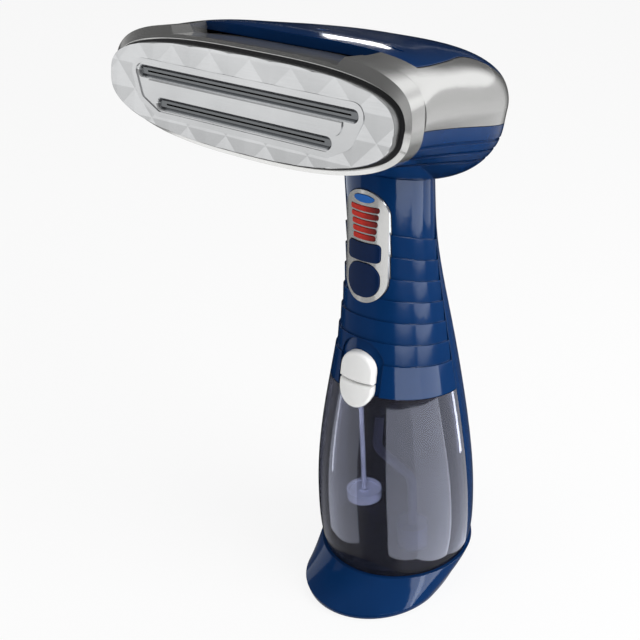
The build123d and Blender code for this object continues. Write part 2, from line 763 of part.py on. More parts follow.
def make_base():
    """Plate under the foot, its rubber sole and the screws."""
    outline = make_face(Spline(foot_ring(0, WALL + FIT + 0.8), periodic=True))
    plate = extrude(Pos(0, 0, SOLE) * outline, amount=BASE_PLATE)
    rubber = extrude(make_face(Spline(foot_ring(0, WALL + 3.0), periodic=True)), amount=SOLE)
    screws = []
    for x, y in base_spots():
        plate -= rod((x, y, 0), SCREW_RADIUS + FIT, 10)
        rubber -= rod((x, y, 0), SCREW_HEAD + 1.0, 10)
        head = rod((x, y, SOLE - 0.8), SCREW_HEAD, 0.8)
        screws.append(main_solid(head + rod((x, y, SOLE - 0.2), SCREW_RADIUS, BASE_PLATE + 6)))
    save("base_plate", main_solid(plate))
    save("rubber_sole", main_solid(rubber))
    save("base_screws", *screws)
    screws = []
    for x, z in screw_spots():
        seat = SPLIT_Y + SEAM + SCREW_GRIP
        head = rod((x, seat, z), SCREW_HEAD, 1.8, (0, 1, 0))
        shank = rod((x, seat - SCREW_GRIP - 7, z), SCREW_RADIUS, SCREW_GRIP + 8, (0, 1, 0))
        screws.append(main_solid(head + shank))
    save("rear_screws", *screws)


def make_inlet():
    """Rubber bush of the cord inlet, and the clamp and terminals behind it."""
    outer = centre_y(INLET_Z) + half_depth(INLET_Z)
    start = outer - INLET_LENGTH + INLET_PROUD
    bush = rod((0, start, INLET_Z), INLET_RADIUS, INLET_LENGTH, (0, 1, 0))
    bush += rod((0, start, INLET_Z), INLET_RADIUS + 1.6, INLET_LENGTH - INLET_PROUD - WALL - 1.2, (0, 1, 0))
    bush += rod((0, outer + 0.5, INLET_Z), INLET_RADIUS + 1.6, INLET_PROUD - 0.5, (0, 1, 0))
    bush -= rod((0, start - 1, INLET_Z), INLET_BORE, INLET_LENGTH + 5, (0, 1, 0))
    save("inlet_bush", main_solid(bush))
    wall = SPLIT_Y + SEAM + WALL + 0.1
    clamp = block((-9, 9), (wall, wall + 7), (42, 51))
    clamp -= rod((0, wall + 7, 40), INLET_BORE, 20)
    save("cord_clamp", main_solid(clamp))
    terminals = block((-11, 11), (wall, wall + 9), (62, 76))
    for x in (-7, 0, 7):
        terminals -= rod((x, wall + 5, 60), 1.4, 20)
        terminals -= rod((x, wall + 5, 69), 2.0, 9, (0, 1, 0))
    save("terminal_block", main_solid(terminals))


def make_electronics():
    """Board behind the panel with its switches and light emitters."""
    board = block((-BOARD_HALF, BOARD_HALF), (BOARD_Y, BOARD_Y + BOARD_THICK), (PANEL_LOW + 1, PANEL_HIGH - 1))
    save("circuit_board", main_solid(board))
    switches = [block((-3, 3), (BOARD_Y - SWITCH_HEIGHT, BOARD_Y), (z - 3, z + 3)) for z in (SETTING_Z, STEAM_Z)]
    save("tact_switches", *[main_solid(item) for item in switches])
    emitters = []
    for index in range(LIGHT_COUNT):
        z = LIGHT_TOP - index * LIGHT_PITCH
        emitters.append(main_solid(block((-2.5, 2.5), (BOARD_Y - 1.6, BOARD_Y), (z - 0.9, z + 0.9))))
    save("light_emitters", *emitters)


def make_pump():
    """Pump between the tank's valve seat and the steam hose."""
    seat = fan_plane(TANK_TOP)
    centre = on_tank_plane(VALVE_Y, 0)
    insert = rod(centre + seat.z_dir * SEAM, SEAT_RADIUS, FLOOR + 2.5, seat.z_dir)
    insert += rod(centre + seat.z_dir * (SEAM + FLOOR + 0.1), SEAT_RADIUS + 2, 2.4, seat.z_dir)
    insert += rod(centre + seat.z_dir * (SEAM + FLOOR + 2), 3.4, 5, seat.z_dir)
    insert -= rod(centre - seat.z_dir, HOSE_BORE, 30, seat.z_dir)
    insert -= rod(centre + seat.z_dir * (SEAM - 1), SEAL_RADIUS + 0.1, 1 + SEAL_HEIGHT, seat.z_dir)
    save("valve_seat", main_solid(insert))
    seal = rod(centre + seat.z_dir * 0.1, SEAL_RADIUS, SEAL_HEIGHT + SEAM - 0.2, seat.z_dir)
    seal -= rod(centre - seat.z_dir, SEAL_RADIUS - 2.0, 30, seat.z_dir)
    save("valve_seal", main_solid(seal))
    body = rod((0, PUMP_Y, PUMP_LOW), PUMP_RADIUS, PUMP_LENGTH)
    coil = block((-PUMP_RADIUS - 1, PUMP_RADIUS + 1), (PUMP_Y - PUMP_RADIUS - 1, PUMP_Y + PUMP_RADIUS + 1), (PUMP_LOW + 8, PUMP_LOW + 20))
    body += coil
    body += rod((0, PUMP_Y, PUMP_LOW - 5), HOSE_BORE + 0.6, PUMP_LENGTH + 10)
    save("pump", main_solid(body))
    start = PUMP_Y + PUMP_RADIUS + 1.2
    levels = (PUMP_LOW + 9, PUMP_LOW + 19)
    cradle = block((-PUMP_RADIUS - CRADLE_WALL, PUMP_RADIUS + CRADLE_WALL), (start, 70), levels) & column(WALL + BAND_STEP + SEAM)
    cradle -= block((-PUMP_RADIUS, PUMP_RADIUS), (start + 3, 70), levels)
    save("pump_cradle", main_solid(cradle))
    top = centre + seat.z_dir * (SEAM + FLOOR + 7.2)
    route = [top, top + seat.z_dir * 3.5, (0, PUMP_Y, PUMP_LOW - 9), (0, PUMP_Y, PUMP_LOW - 5.2)]
    inlet = tube(route, 2, HOSE_RADIUS, HOSE_BORE)
    save("inlet_hose", main_solid(inlet))
    end = head_point(0, CHAMBER_BACK_U + NIPPLE + SEAM, CHAMBER_V)
    reach = (PUMP_Y - end.Y) / cos(radians(PLATE_TILT))
    turn = head_point(0, CHAMBER_BACK_U + NIPPLE + SEAM + reach, CHAMBER_V)
    route = [(0, PUMP_Y, PUMP_LOW + PUMP_LENGTH + 5.2), turn, end]
    save("steam_hose", main_solid(tube(route, 12, HOSE_RADIUS, HOSE_BORE)))



# ------------------------------------------------------------ steam head


def slot_prism(half, height, v, low_u, high_u, x=0.0):
    """Obround prism along the head's width."""
    outline = Pos(x, v) * SlotOverall(2 * half, height)
    return extrude(head_plane(high_u) * outline, amount=high_u - low_u)


def channel(half, v):
    """Steam channel: flanks that draw in to a narrow slit through the plate."""
    face = -PLATE_PROUD
    mouth = head_plane(face) * Pos(0, v) * SlotOverall(2 * half, CHANNEL_HEIGHT)
    floor = head_plane(face + CHANNEL_DEPTH) * Pos(0, v) * SlotOverall(2 * half - 3, CHANNEL_FLOOR)
    flanks = Solid.make_loft([mouth.face().outer_wire(), floor.face().outer_wire()], True)
    return flanks + slot_prism(half - 5, SLIT, v, face, PLATE_BACK_U + 1)


def head_rod(x, v, low_u, high_u, radius):
    """Round pin along the head's depth."""
    return extrude(head_plane(high_u) * Pos(x, v) * Circle(radius), amount=high_u - low_u)


def head_block(x, u, v):
    return block(x, u, v)


def loop_field(margin):
    """Outline round both channels and the bends that join their ends."""
    height = CHANNEL_HEIGHT + 2 * margin
    parts = Pos(0, UPPER_V) * SlotOverall(2 * (UPPER_HALF_LENGTH + margin), height)
    parts += Pos(0, LOWER_V) * SlotOverall(2 * (LOWER_HALF_LENGTH + margin), height)
    for side in (-1, 1):
        parts += Pos(side * LOOP_BULGE_X, LOOP_BULGE_V) * Circle(LOOP_BULGE_RADIUS + margin)
    return make_hull(parts.edges())


def head_prism(outline, low_u, high_u):
    """Prism of an outline along the head's depth."""
    return extrude(head_plane(high_u) * outline, amount=high_u - low_u)


def facet_grooves(face):
    """Wide shallow grooves along both diagonals, which leave low four-sided facets."""
    half = FACET_PITCH / sqrt(2) / 2
    slope = FACET_DEPTH / half
    over = FACET_CREST / slope
    profile = [(-half - over, 0), (half + over, 0), (0, FACET_DEPTH + FACET_CREST)]
    reach = 2 * PLATE_HALF_WIDTH
    groove = extrude(make_face(Polyline(*profile, close=True)), amount=reach / 2, both=True)
    count = int(reach / FACET_PITCH)
    grooves = []
    for turn, start in ((45, FACET_X - FACET_V), (-45, FACET_X + FACET_V)):
        for index in range(-count, count + 1):
            x = start + index * FACET_PITCH
            if abs(x) < PLATE_HALF_WIDTH + PLATE_DOWN:
                grooves.append(Pos(x, face, 0) * Rot(0, turn, 0) * groove)
    return grooves


def make_plate():
    """Plate with low diamond facets, its two channels and the shallow loop that joins them."""
    face = -PLATE_PROUD
    plate = egg_prism(PLATE_HALF_WIDTH, PLATE_UP, PLATE_DOWN, face, PLATE_BACK_U)
    rim = plate.edges().group_by(Axis.Y)[0]
    plate = fillet(rim, PLATE_ROUND)
    flat = plate & head_prism(loop_field(LOOP_RIM), face, PLATE_BACK_U)
    plate -= facet_grooves(face)
    plate += flat
    bar_low = LOWER_V + CHANNEL_HEIGHT / 2
    bar_high = UPPER_V - CHANNEL_HEIGHT / 2
    bar = Pos(0, (bar_low + bar_high) / 2 + BAR_ROUND / 2)
    bar = bar * Rectangle(2 * BAR_HALF, bar_high - bar_low + BAR_ROUND)
    bar = fillet(bar.vertices().group_by(Axis.Y)[0], BAR_ROUND)
    plate -= head_prism(loop_field(0) - bar, face, face + LOOP_DEPTH)
    plate -= channel(UPPER_HALF_LENGTH, UPPER_V)
    plate -= channel(LOWER_HALF_LENGTH, LOWER_V)
    save("steam_plate", main_solid(in_head(plate)))

    ring_ = egg_prism(PLATE_HALF_WIDTH + GASKET_PROUD, PLATE_UP + GASKET_PROUD, PLATE_DOWN + GASKET_PROUD,
                      PLATE_BACK_U, PLATE_BACK_U + GASKET)
    ring_ -= egg_prism(PLATE_HALF_WIDTH - 4, PLATE_UP - 3.2, PLATE_DOWN - 3.2, PLATE_BACK_U - 1, BEZEL_BACK_U)
    save("plate_gasket", main_solid(in_head(ring_)))


def notch_zone(low_u, high_u):
    """Shallow notch with sloping ends in the top of the bezel."""
    foot_x = NOTCH_HALF_WIDTH - NOTCH_SLOPE
    head_x = NOTCH_HALF_WIDTH + NOTCH_SLOPE
    top = BEZEL_UP + 1
    low = BEZEL_UP - 2 * NOTCH_DEPTH
    outline = [(-head_x, top), (-foot_x, low), (foot_x, low), (head_x, top)]
    prism = extrude(head_plane(high_u) * make_face(Polyline(*outline, close=True)), amount=high_u - low_u)
    floor = make_face(egg(BEZEL_HALF_WIDTH, BEZEL_UP - NOTCH_DEPTH, BEZEL_DOWN, SQUARE_BEZEL, 2.5))
    return prism - extrude(head_plane(high_u) * floor, amount=high_u - low_u)


def egg_wire(half, up, down, u, power_up=3.0):
    return Wire(head_plane(u) * egg(half, up, down, power_up, 2.5))


def make_bezel():
    """Silver bezel: sloping lip, bright ridge, notch and the flange inside."""
    lip = PLATE_HALF_WIDTH + GASKET_PROUD + SEAM
    lip_up = PLATE_UP + GASKET_PROUD + SEAM
    lip_down = PLATE_DOWN + GASKET_PROUD + SEAM
    wires = [egg_wire(lip + 0.2, lip_up + 0.2, lip_down + 0.2, PLATE_BACK_U)]
    wires += [egg_wire(BEZEL_HALF_WIDTH, BEZEL_UP, BEZEL_DOWN, BEZEL_RIDGE_U, SQUARE_BEZEL)]
    wires += [egg_wire(HEAD_HALF_WIDTH, HEAD_UP, HEAD_DOWN, BEZEL_BACK_U, SQUARE_FRONT)]
    bezel = Solid.make_loft(wires, True)
    flange_u = PLATE_BACK_U + GASKET
    room = egg_prism(HEAD_HALF_WIDTH - WALL, BEZEL_UP - NOTCH_DEPTH - WALL, HEAD_DOWN - WALL,
                     flange_u + FLANGE, BEZEL_BACK_U + 1)
    opening = egg_prism(FLANGE_HALF_WIDTH, FLANGE_UP, FLANGE_DOWN, 0, BEZEL_BACK_U)
    seat = egg_prism(lip, lip_up, lip_down, 0, flange_u)
    bezel -= [room, opening, seat, notch_zone(0, BEZEL_BACK_U + 1)]
    bores = [head_rod(x, CHAMBER_V, flange_u, flange_u + 10, SCREW_RADIUS) for x in (-EAR_X, EAR_X)]
    bezel -= bores
    save("head_bezel", main_solid(in_head(bezel)))


def cover_zone(lower=0.0, front=VISOR_U):
    """Space of the top cover: over its edge, and behind its leaning front."""
    plane = Plane(origin=(0, front, CROWN), x_dir=(1, 0, 0), z_dir=(0, 1, VISOR_RAKE))
    return above_cover_edge(lower) & above(plane)


def make_covers():
    """Silver side band, navy top cover and navy lower shell of the head."""
    form = head_form()
    skin = form - head_form(WALL)
    start = head_block((-120, 120), (BEZEL_BACK_U + SEAM, 200), (-80, 80))

    band = skin & start & above(seam_plane(0))
    bridge = (form - head_form(BRIDGE_DEPTH + WALL))
    bridge &= head_block((-BRIDGE_HALF - WALL, BRIDGE_HALF + WALL), (BEZEL_BACK_U + SEAM, BRIDGE_END_U), (5, 40))
    recess = head_block((-BRIDGE_HALF, BRIDGE_HALF), (0, BRIDGE_END_U + 1), (5, 40)) - head_form(BRIDGE_DEPTH)
    band = (band - cover_zone(0)) + (bridge - cover_zone(0))
    band -= recess
    save("side_band", main_solid(in_head(band)))

    cover = skin & cover_zone(-SEAM)
    lip = (form - head_form(VISOR_LIP)) & cover_zone(-SEAM) & head_block((-120, 120), (0, VISOR_U + 2 * WALL), (5, 60))
    cover = cover + lip
    dimple = Pos(0, DIMPLE_U, 0) * Cylinder(DIMPLE_RADIUS, 120)
    dimple -= head_form(DIMPLE_DEPTH)
    slots = []
    for side in (-1, 1):
        slot = Pos(side * COVER_SLOT_X, COVER_SLOT_U, 0) * extrude(SlotOverall(COVER_SLOT_LENGTH, 2.0), amount=60)
        slots.append(slot - head_form(DIMPLE_DEPTH))
    cover -= [dimple, *slots]
    save("top_cover", main_solid(in_head(cover)))

    lower = skin & start
    lower -= above(seam_plane(SEAM))
    grooves = []
    for index in range(GROOVE_COUNT):
        top = seam_plane(GROOVE_START + index * GROOVE_PITCH)
        slab = above(top.offset(-GROOVE_WIDTH)) - above(top)
        grooves.append(slab - head_form(GROOVE_DEPTH))
    lower -= grooves
    lower = in_head(lower)
    spigot = (column(WALL + BAND_STEP + SEAM) - column(2 * WALL + BAND_STEP + SEAM)) & in_head(head_form(-SPIGOT))
    spigot -= in_head(head_form(WALL / 2))
    lower -= column(2 * WALL + BAND_STEP + SEAM)
    lower = lower + spigot
    save("lower_head", main_solid(lower))


def make_steam_works():
    """Cast chamber behind the plate with its heater, cover, cut-outs and shield."""
    front = PLATE_BACK_U
    back = CHAMBER_BACK_U
    chamber = egg_prism(CHAMBER_HALF, CHAMBER_UP, CHAMBER_DOWN, front, back)
    ear_u = PLATE_BACK_U + GASKET + FLANGE
    chamber += slot_prism(EAR_X + 3.5, 8, CHAMBER_V, ear_u, ear_u + 3)
    pockets = [slot_prism(UPPER_HALF_LENGTH - 4, 4, UPPER_V, front, front + 3.5)]
    pockets += [slot_prism(LOWER_HALF_LENGTH - 4, 4, LOWER_V, front, front + 3.5)]
    pockets += [slot_prism(POCKET_HALF, 7, CHAMBER_V, front + 5.5, back)]
    for x in (-20, 0, 20):
        pockets.append(head_rod(x, CHAMBER_V + 2.8, front, back - 3, 1.4))
        pockets.append(head_rod(x, CHAMBER_V - 2.8, front, back - 3, 1.4))
    pockets += [slot_prism(28, 9, CHAMBER_V, front + 1.0, front + 3.5)]
    pockets += [head_rod(x, CHAMBER_V, 0, back, SCREW_RADIUS + FIT) for x in (-EAR_X, EAR_X)]
    pockets += [head_rod(x, CHAMBER_V, back - 5, back, 1.3) for x in (-COVER_SCREW_X, COVER_SCREW_X)]
    top_v = CHAMBER_V + ELEMENT_HALF
    low_v = CHAMBER_V - ELEMENT_HALF
    route = [(ELEMENT_END_X, ELEMENT_OUT_U, top_v), (ELEMENT_END_X, back, top_v), (-ELEMENT_X, back, top_v)]
    route += [(-ELEMENT_X, back, low_v), (ELEMENT_END_X, back, low_v), (ELEMENT_END_X, ELEMENT_OUT_U, low_v)]
    element = tube(route, 6, ELEMENT_RADIUS)
    groove = tube(route, 6, ELEMENT_RADIUS + 0.1)
    chamber -= [*pockets, groove]
    save("steam_chamber", main_solid(in_head(chamber)))
    save("heating_element", main_solid(in_head(element)))

    lid = slot_prism(COVER_SCREW_X + 4, 2 * (ELEMENT_HALF - ELEMENT_RADIUS) - 0.8, CHAMBER_V, back, back + 1.6)
    lid += head_rod(0, CHAMBER_V, back, back + NIPPLE, HOSE_RADIUS + 0.8)
    lid -= [head_rod(0, CHAMBER_V, 0, 90, HOSE_BORE)]
    lid -= [head_rod(x, CHAMBER_V, 0, 90, 1.6) for x in (-COVER_SCREW_X, COVER_SCREW_X)]
    save("chamber_cover", main_solid(in_head(lid)))
    screws = []
    for x in (-COVER_SCREW_X, COVER_SCREW_X):
        screw = head_rod(x, CHAMBER_V, back + 1.6, back + 3.2, 2.6) + head_rod(x, CHAMBER_V, back - 4, back + 2, 1.2)
        screws.append(main_solid(in_head(screw)))
    save("chamber_screws", *screws)
    screws = []
    for x in (-EAR_X, EAR_X):
        screw = head_rod(x, CHAMBER_V, ear_u + 3, ear_u + 4.8, SCREW_HEAD)
        screw += head_rod(x, CHAMBER_V, ear_u - FLANGE + 0.2, ear_u + 4, SCREW_RADIUS - 0.1)
        screws.append(main_solid(in_head(screw)))
    save("plate_screws", *screws)

    thermostat = head_rod(THERMOSTAT_X, CHAMBER_V, back, back + 6, 7.5)
    thermostat += head_rod(THERMOSTAT_X, CHAMBER_V, back + 5, back + 9, 4.5)
    save("thermostat", main_solid(in_head(thermostat)))
    fuse = Pos(FUSE_X, back + 1.9, CHAMBER_V) * Cylinder(1.9, 10)
    fuse += Pos(FUSE_X, back + 1.9, CHAMBER_V) * Cylinder(0.5, 14)
    save("thermal_fuse", main_solid(in_head(fuse)))

    shield = slot_prism(SHIELD_HALF, 2 * SHIELD_V, CHAMBER_V, SHIELD_U, SHIELD_U + 0.8)
    for x in (-SHIELD_POST_X, SHIELD_POST_X):
        shield += head_rod(x, CHAMBER_V, back, SHIELD_U + 0.4, 1.8)
    shield -= [head_rod(0, CHAMBER_V, 0, 90, HOSE_RADIUS + 1.2)]
    save("heat_shield", main_solid(in_head(shield)))


make_tank()
make_handle_front()
make_panel()
make_latch()
make_rear_housing()
make_base()
make_inlet()
make_electronics()
make_pump()
make_plate()
make_bezel()
make_covers()
make_steam_works()
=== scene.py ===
"""Looks of the hand-held garment steamer: camera, studio, and the finish of every moulding."""

import math

import bpy
from mathutils import Matrix, Vector

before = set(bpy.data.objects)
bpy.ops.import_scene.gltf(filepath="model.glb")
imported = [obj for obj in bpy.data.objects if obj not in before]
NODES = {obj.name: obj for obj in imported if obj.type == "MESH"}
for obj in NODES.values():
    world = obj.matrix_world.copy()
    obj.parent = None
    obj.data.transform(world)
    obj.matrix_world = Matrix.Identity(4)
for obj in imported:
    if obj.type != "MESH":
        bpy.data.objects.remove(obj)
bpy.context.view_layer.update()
SCENE = bpy.context.scene
WHITE = (1.0, 1.0, 1.0)

# Camera: how far it is turned from the front (-y) towards +x, how high, how it is rolled, and its lens.
CAMERA_AZIMUTH = math.radians(40.4)
CAMERA_ELEVATION = math.radians(28.3)
CAMERA_ROLL = math.radians(-3.0)
CAMERA_DISTANCE = 0.600
CAMERA_TARGET = Vector((-0.01904, -0.01620, 0.1563))
CAMERA_LENS = 69.4
SENSOR = 36.0


def make_camera():
    """A camera that looks at the target from the set azimuth and elevation, rolled about its own axis."""
    azimuth, elevation, roll = CAMERA_AZIMUTH, CAMERA_ELEVATION, CAMERA_ROLL
    back = Vector(
        (
            math.sin(azimuth) * math.cos(elevation),
            -math.cos(azimuth) * math.cos(elevation),
            math.sin(elevation),
        )
    )
    level = Vector((math.cos(azimuth), math.sin(azimuth), 0.0))
    upright = back.cross(level)
    right = level * math.cos(roll) + upright * math.sin(roll)
    up = upright * math.cos(roll) - level * math.sin(roll)
    camera = bpy.data.objects.new("camera", bpy.data.cameras.new("camera"))
    camera.data.lens = CAMERA_LENS
    camera.data.sensor_width = SENSOR
    camera.data.clip_start = 0.01
    camera.data.clip_end = 50.0
    place = Matrix((right, up, back)).transposed().to_4x4()
    place.translation = CAMERA_TARGET + back * CAMERA_DISTANCE
    camera.matrix_world = place
    SCENE.collection.objects.link(camera)
    SCENE.camera = camera


# The steam plate, and where its sunk channels get painted shade, a darker colour
PLATE_MIDDLE = (0.0, -0.0790, 0.2883)
PLATE_INWARD = (0.0, 0.9836, -0.1805)      # into the head, square to the plate
CHANNEL_SPREAD = (15.4, 40.0, 58.0)        # one over the reach of the channels along each axis
CHANNEL_DEPTH = (-0.0006, -0.0001)         # along PLATE_INWARD: where the painted channel shade starts, and is full
CHANNEL_FADE = (0.95, 1.0)                 # share of the reach over which it ends
# Across the light bars: where the painted light starts to fall off into painted shade, and where it is
# darkest
BAR_FADE = (-0.001, 0.0065)
# How fine the patterns of the finishes are, in waves to the metre
FLOW_MARKS = 22.0
SMUDGES = 60.0
ORANGE_PEEL = 900.0
METAL_CLOUDS = 35.0
PAINT_FLAKES = 2600.0
PAINT_CLOUDS = 50.0
PAINT_PEEL = 1400.0
TANK_FLOW = 18.0
TANK_SMUDGES = 45.0
TANK_WAVES = 120.0
BAR_SPOTS = 700.0


class Nodes:
    """A short way to write one material's node tree."""

    def __init__(self, tree, fresh=True):
        self.tree = tree
        if fresh:
            tree.nodes.clear()

    @classmethod
    def on(cls, material):
        """The same for a material that already has its nodes."""
        return cls(material.node_tree, fresh=False)

    def colour(self):
        """The socket that gives the surface its colour."""
        return self.tree.nodes["Principled BSDF"].inputs["Base Color"].links[0].from_socket

    def recolour(self, colour):
        """Give the surface another colour."""
        self.tree.links.new(colour, self.tree.nodes["Principled BSDF"].inputs["Base Color"])

    def add(self, kind, inputs=None, **settings):
        """A node of that kind with its settings, and each input set to a value or joined to a socket."""
        node = self.tree.nodes.new(kind)
        for name, value in settings.items():
            setattr(node, name, value)
        for name, value in (inputs or {}).items():
            socket = node.inputs[name]
            if isinstance(value, bpy.types.NodeSocket):
                self.tree.links.new(value, socket)
            else:
                socket.default_value = value
        return node

    def place(self):
        """Object coordinates, which are the row frame's own and travel with the piece."""
        return self.add("ShaderNodeTexCoord").outputs["Object"]

    def stretched(self, scale):
        """The place with another scale along each axis."""
        node = self.add("ShaderNodeMapping", {"Vector": self.place(), "Scale": scale})
        return node.outputs["Vector"]

    def noise(self, scale, detail, rough, vector=None):
        """A noise value from 0 to 1."""
        node = self.add(
            "ShaderNodeTexNoise",
            {"Vector": vector or self.place(), "Scale": scale, "Detail": detail, "Roughness": rough},
        )
        return node.outputs["Fac"]

    def spread(self, value, low, high, start=0.3, end=0.7):
        """The value from start to end spread over low to high."""
        node = self.add(
            "ShaderNodeMapRange",
            {"Value": value, "From Min": start, "From Max": end, "To Min": low, "To Max": high},
        )
        return node.outputs["Result"]

    def blend(self, amount, first, second):
        """The colour between two colours."""
        node = self.add("ShaderNodeMix", data_type="RGBA")
        for index, value in ((0, amount), (6, first), (7, second)):
            if isinstance(value, bpy.types.NodeSocket):
                self.tree.links.new(value, node.inputs[index])
            else:
                node.inputs[index].default_value = value
        return node.outputs[2]

    def math(self, operation, first, second):
        """One sum, product or choice of two values."""
        node = self.add("ShaderNodeMath", operation=operation)
        for index, value in ((0, first), (1, second)):
            if isinstance(value, bpy.types.NodeSocket):
                self.tree.links.new(value, node.inputs[index])
            else:
                node.inputs[index].default_value = value
        return node.outputs[0]

    def vector(self, operation, *vectors):
        """One operation on vectors."""
        return self.add("ShaderNodeVectorMath", dict(enumerate(vectors)), operation=operation)

    def bump(self, height, strength, distance, under=None):
        """A bumped normal, over another one if it is given."""
        inputs = {"Height": height, "Strength": strength, "Distance": distance}
        if under:
            inputs["Normal"] = under
        return self.add("ShaderNodeBump", inputs).outputs["Normal"]

    def finish(self, shader):
        """The shader goes to the surface."""
        self.add("ShaderNodeOutputMaterial", {"Surface": shader})


def rgba(colour):
    """A colour with full cover."""
    return (*colour, 1.0)


def moulded(name, dark, light, rough, specular, depth=0.00002, coat=0.0, edge=0.0):
    """A moulded surface: flow marks in its colour, a varied gloss, and a fine orange peel."""
    material = bpy.data.materials.new(name)
    material.use_nodes = True
    nodes = Nodes(material.node_tree)
    flow = nodes.noise(FLOW_MARKS, 4.0, 0.55)
    colour = nodes.blend(nodes.spread(flow, 0.0, 1.0), rgba(dark), rgba(light))
    smudge = nodes.noise(SMUDGES, 5.0, 0.6)
    gloss = nodes.spread(smudge, rough[0], rough[1])
    soft = nodes.add("ShaderNodeBevel", {"Radius": edge}, samples=6).outputs["Normal"] if edge else None
    peel = nodes.bump(nodes.noise(ORANGE_PEEL, 2.0, 0.5), 0.25, depth, soft)
    shader = nodes.add(
        "ShaderNodeBsdfPrincipled",
        {
            "Base Color": colour,
            "Roughness": gloss,
            "Normal": peel,
            "Specular IOR Level": specular,
            "Coat Weight": coat,
            "Coat Roughness": 0.06,
        },
    )
    nodes.finish(shader.outputs["BSDF"])
    material.diffuse_color = rgba(light)
    return material


def brushed(name, dark, light, rough, along=(40.0, 2200.0, 2200.0)):
    """A brushed or ground metal: long fine lines in its gloss and relief, and faint cloudy patches."""
    material = bpy.data.materials.new(name)
    material.use_nodes = True
    nodes = Nodes(material.node_tree)
    lines = nodes.noise(1.0, 3.0, 0.6, nodes.stretched(along))
    clouds = nodes.noise(METAL_CLOUDS, 4.0, 0.55)
    colour = nodes.blend(nodes.spread(clouds, 0.0, 1.0), rgba(dark), rgba(light))
    gloss = nodes.spread(lines, rough[0], rough[1])
    relief = nodes.bump(lines, 0.12, 0.00002)
    shader = nodes.add(
        "ShaderNodeBsdfPrincipled",
        {
            "Base Color": colour,
            "Metallic": 1.0,
            "Roughness": gloss,
            "Normal": relief,
        },
    )
    nodes.finish(shader.outputs["BSDF"])
    material.diffuse_color = rgba(light)
    return material


def plate_finish(name, dark, light, channel_shade, rough):
    """Polished plate whose sunk channels get painted shade: a darker colour blended in by depth."""
    material = brushed(name, dark, light, rough)
    nodes = Nodes.on(material)
    across = nodes.vector("SUBTRACT", nodes.place(), PLATE_MIDDLE).outputs["Vector"]
    depth = nodes.vector("DOT_PRODUCT", across, PLATE_INWARD).outputs["Value"]
    scaled = nodes.vector("MULTIPLY", across, CHANNEL_SPREAD).outputs["Vector"]
    reach = nodes.vector("LENGTH", scaled).outputs["Value"]
    sunk = nodes.spread(depth, 0.0, 1.0, *CHANNEL_DEPTH)
    inside = nodes.spread(reach, 1.0, 0.0, *CHANNEL_FADE)
    # Painted shade: the sunk channels are blended towards the dark channel colour.
    nodes.recolour(nodes.blend(nodes.math("MULTIPLY", sunk, inside), nodes.colour(), rgba(channel_shade)))
    return material


def light_bar(name, painted_light_red, shade_and_spot_red, rough):
    """A red lens with painted light on its left that falls off to painted shade towards its right end, and
    darker spots.
    """
    material = moulded(name, painted_light_red, painted_light_red, rough, 0.4)
    nodes = Nodes.on(material)
    across = nodes.add("ShaderNodeSeparateXYZ", {0: nodes.place()}).outputs["X"]
    # Painted light and shade: the colour runs from the lit red on the left to the shaded red on the right.
    colour = nodes.blend(nodes.spread(across, 0.0, 1.0, *BAR_FADE), rgba(painted_light_red), rgba(shade_and_spot_red))
    spots = nodes.spread(nodes.noise(BAR_SPOTS, 3.0, 0.6), 0.0, 0.35)
    nodes.recolour(nodes.blend(spots, colour, rgba(shade_and_spot_red)))
    return material


def flaked(name, dark, light, rough):
    """Silver paint: fine flakes that catch the light a little differently, under a clear coat."""
    material = bpy.data.materials.new(name)
    material.use_nodes = True
    nodes = Nodes(material.node_tree)
    flakes = nodes.add("ShaderNodeTexVoronoi", {"Vector": nodes.place(), "Scale": PAINT_FLAKES})
    tone = nodes.spread(flakes.outputs["Color"], 0.35, 0.65, 0.0, 1.0)
    colour = nodes.blend(tone, rgba(dark), rgba(light))
    gloss = nodes.spread(nodes.noise(PAINT_CLOUDS, 4.0, 0.6), rough[0], rough[1])
    relief = nodes.bump(nodes.noise(PAINT_PEEL, 2.0, 0.5), 0.08, 0.000006)
    shader = nodes.add(
        "ShaderNodeBsdfPrincipled",
        {
            "Base Color": colour,
            "Metallic": 0.85,
            "Roughness": gloss,
            "Normal": relief,
            "Coat Weight": 0.25,
            "Coat Roughness": 0.08,
        },
    )
    nodes.finish(shader.outputs["BSDF"])
    material.diffuse_color = rgba(light)
    return material


def smoked(name, dark, light, deep, rough):
    """The see-through smoked tank: a tinted clear plastic with faint flow marks."""
    material = bpy.data.materials.new(name)
    material.use_nodes = True
    nodes = Nodes(material.node_tree)
    flow = nodes.noise(TANK_FLOW, 3.0, 0.5)
    thin = nodes.blend(nodes.spread(flow, 0.0, 1.0), rgba(dark), rgba(light))
    facing = nodes.add("ShaderNodeLayerWeight", {"Blend": 0.35}).outputs["Facing"]
    colour = nodes.blend(nodes.spread(facing, 0.0, 1.0, 0.25, 0.95), thin, rgba(deep))
    gloss = nodes.spread(nodes.noise(TANK_SMUDGES, 4.0, 0.6), rough[0], rough[1])
    relief = nodes.bump(nodes.noise(TANK_WAVES, 2.0, 0.5), 0.08, 0.00004)
    shader = nodes.add(
        "ShaderNodeBsdfPrincipled",
        {
            "Base Color": colour,
            "Roughness": gloss,
            "Normal": relief,
            "IOR": 1.40,
            "Transmission Weight": 0.92,
        },
    )
    nodes.finish(shader.outputs["BSDF"])
    material.diffuse_color = rgba(light)
    return material


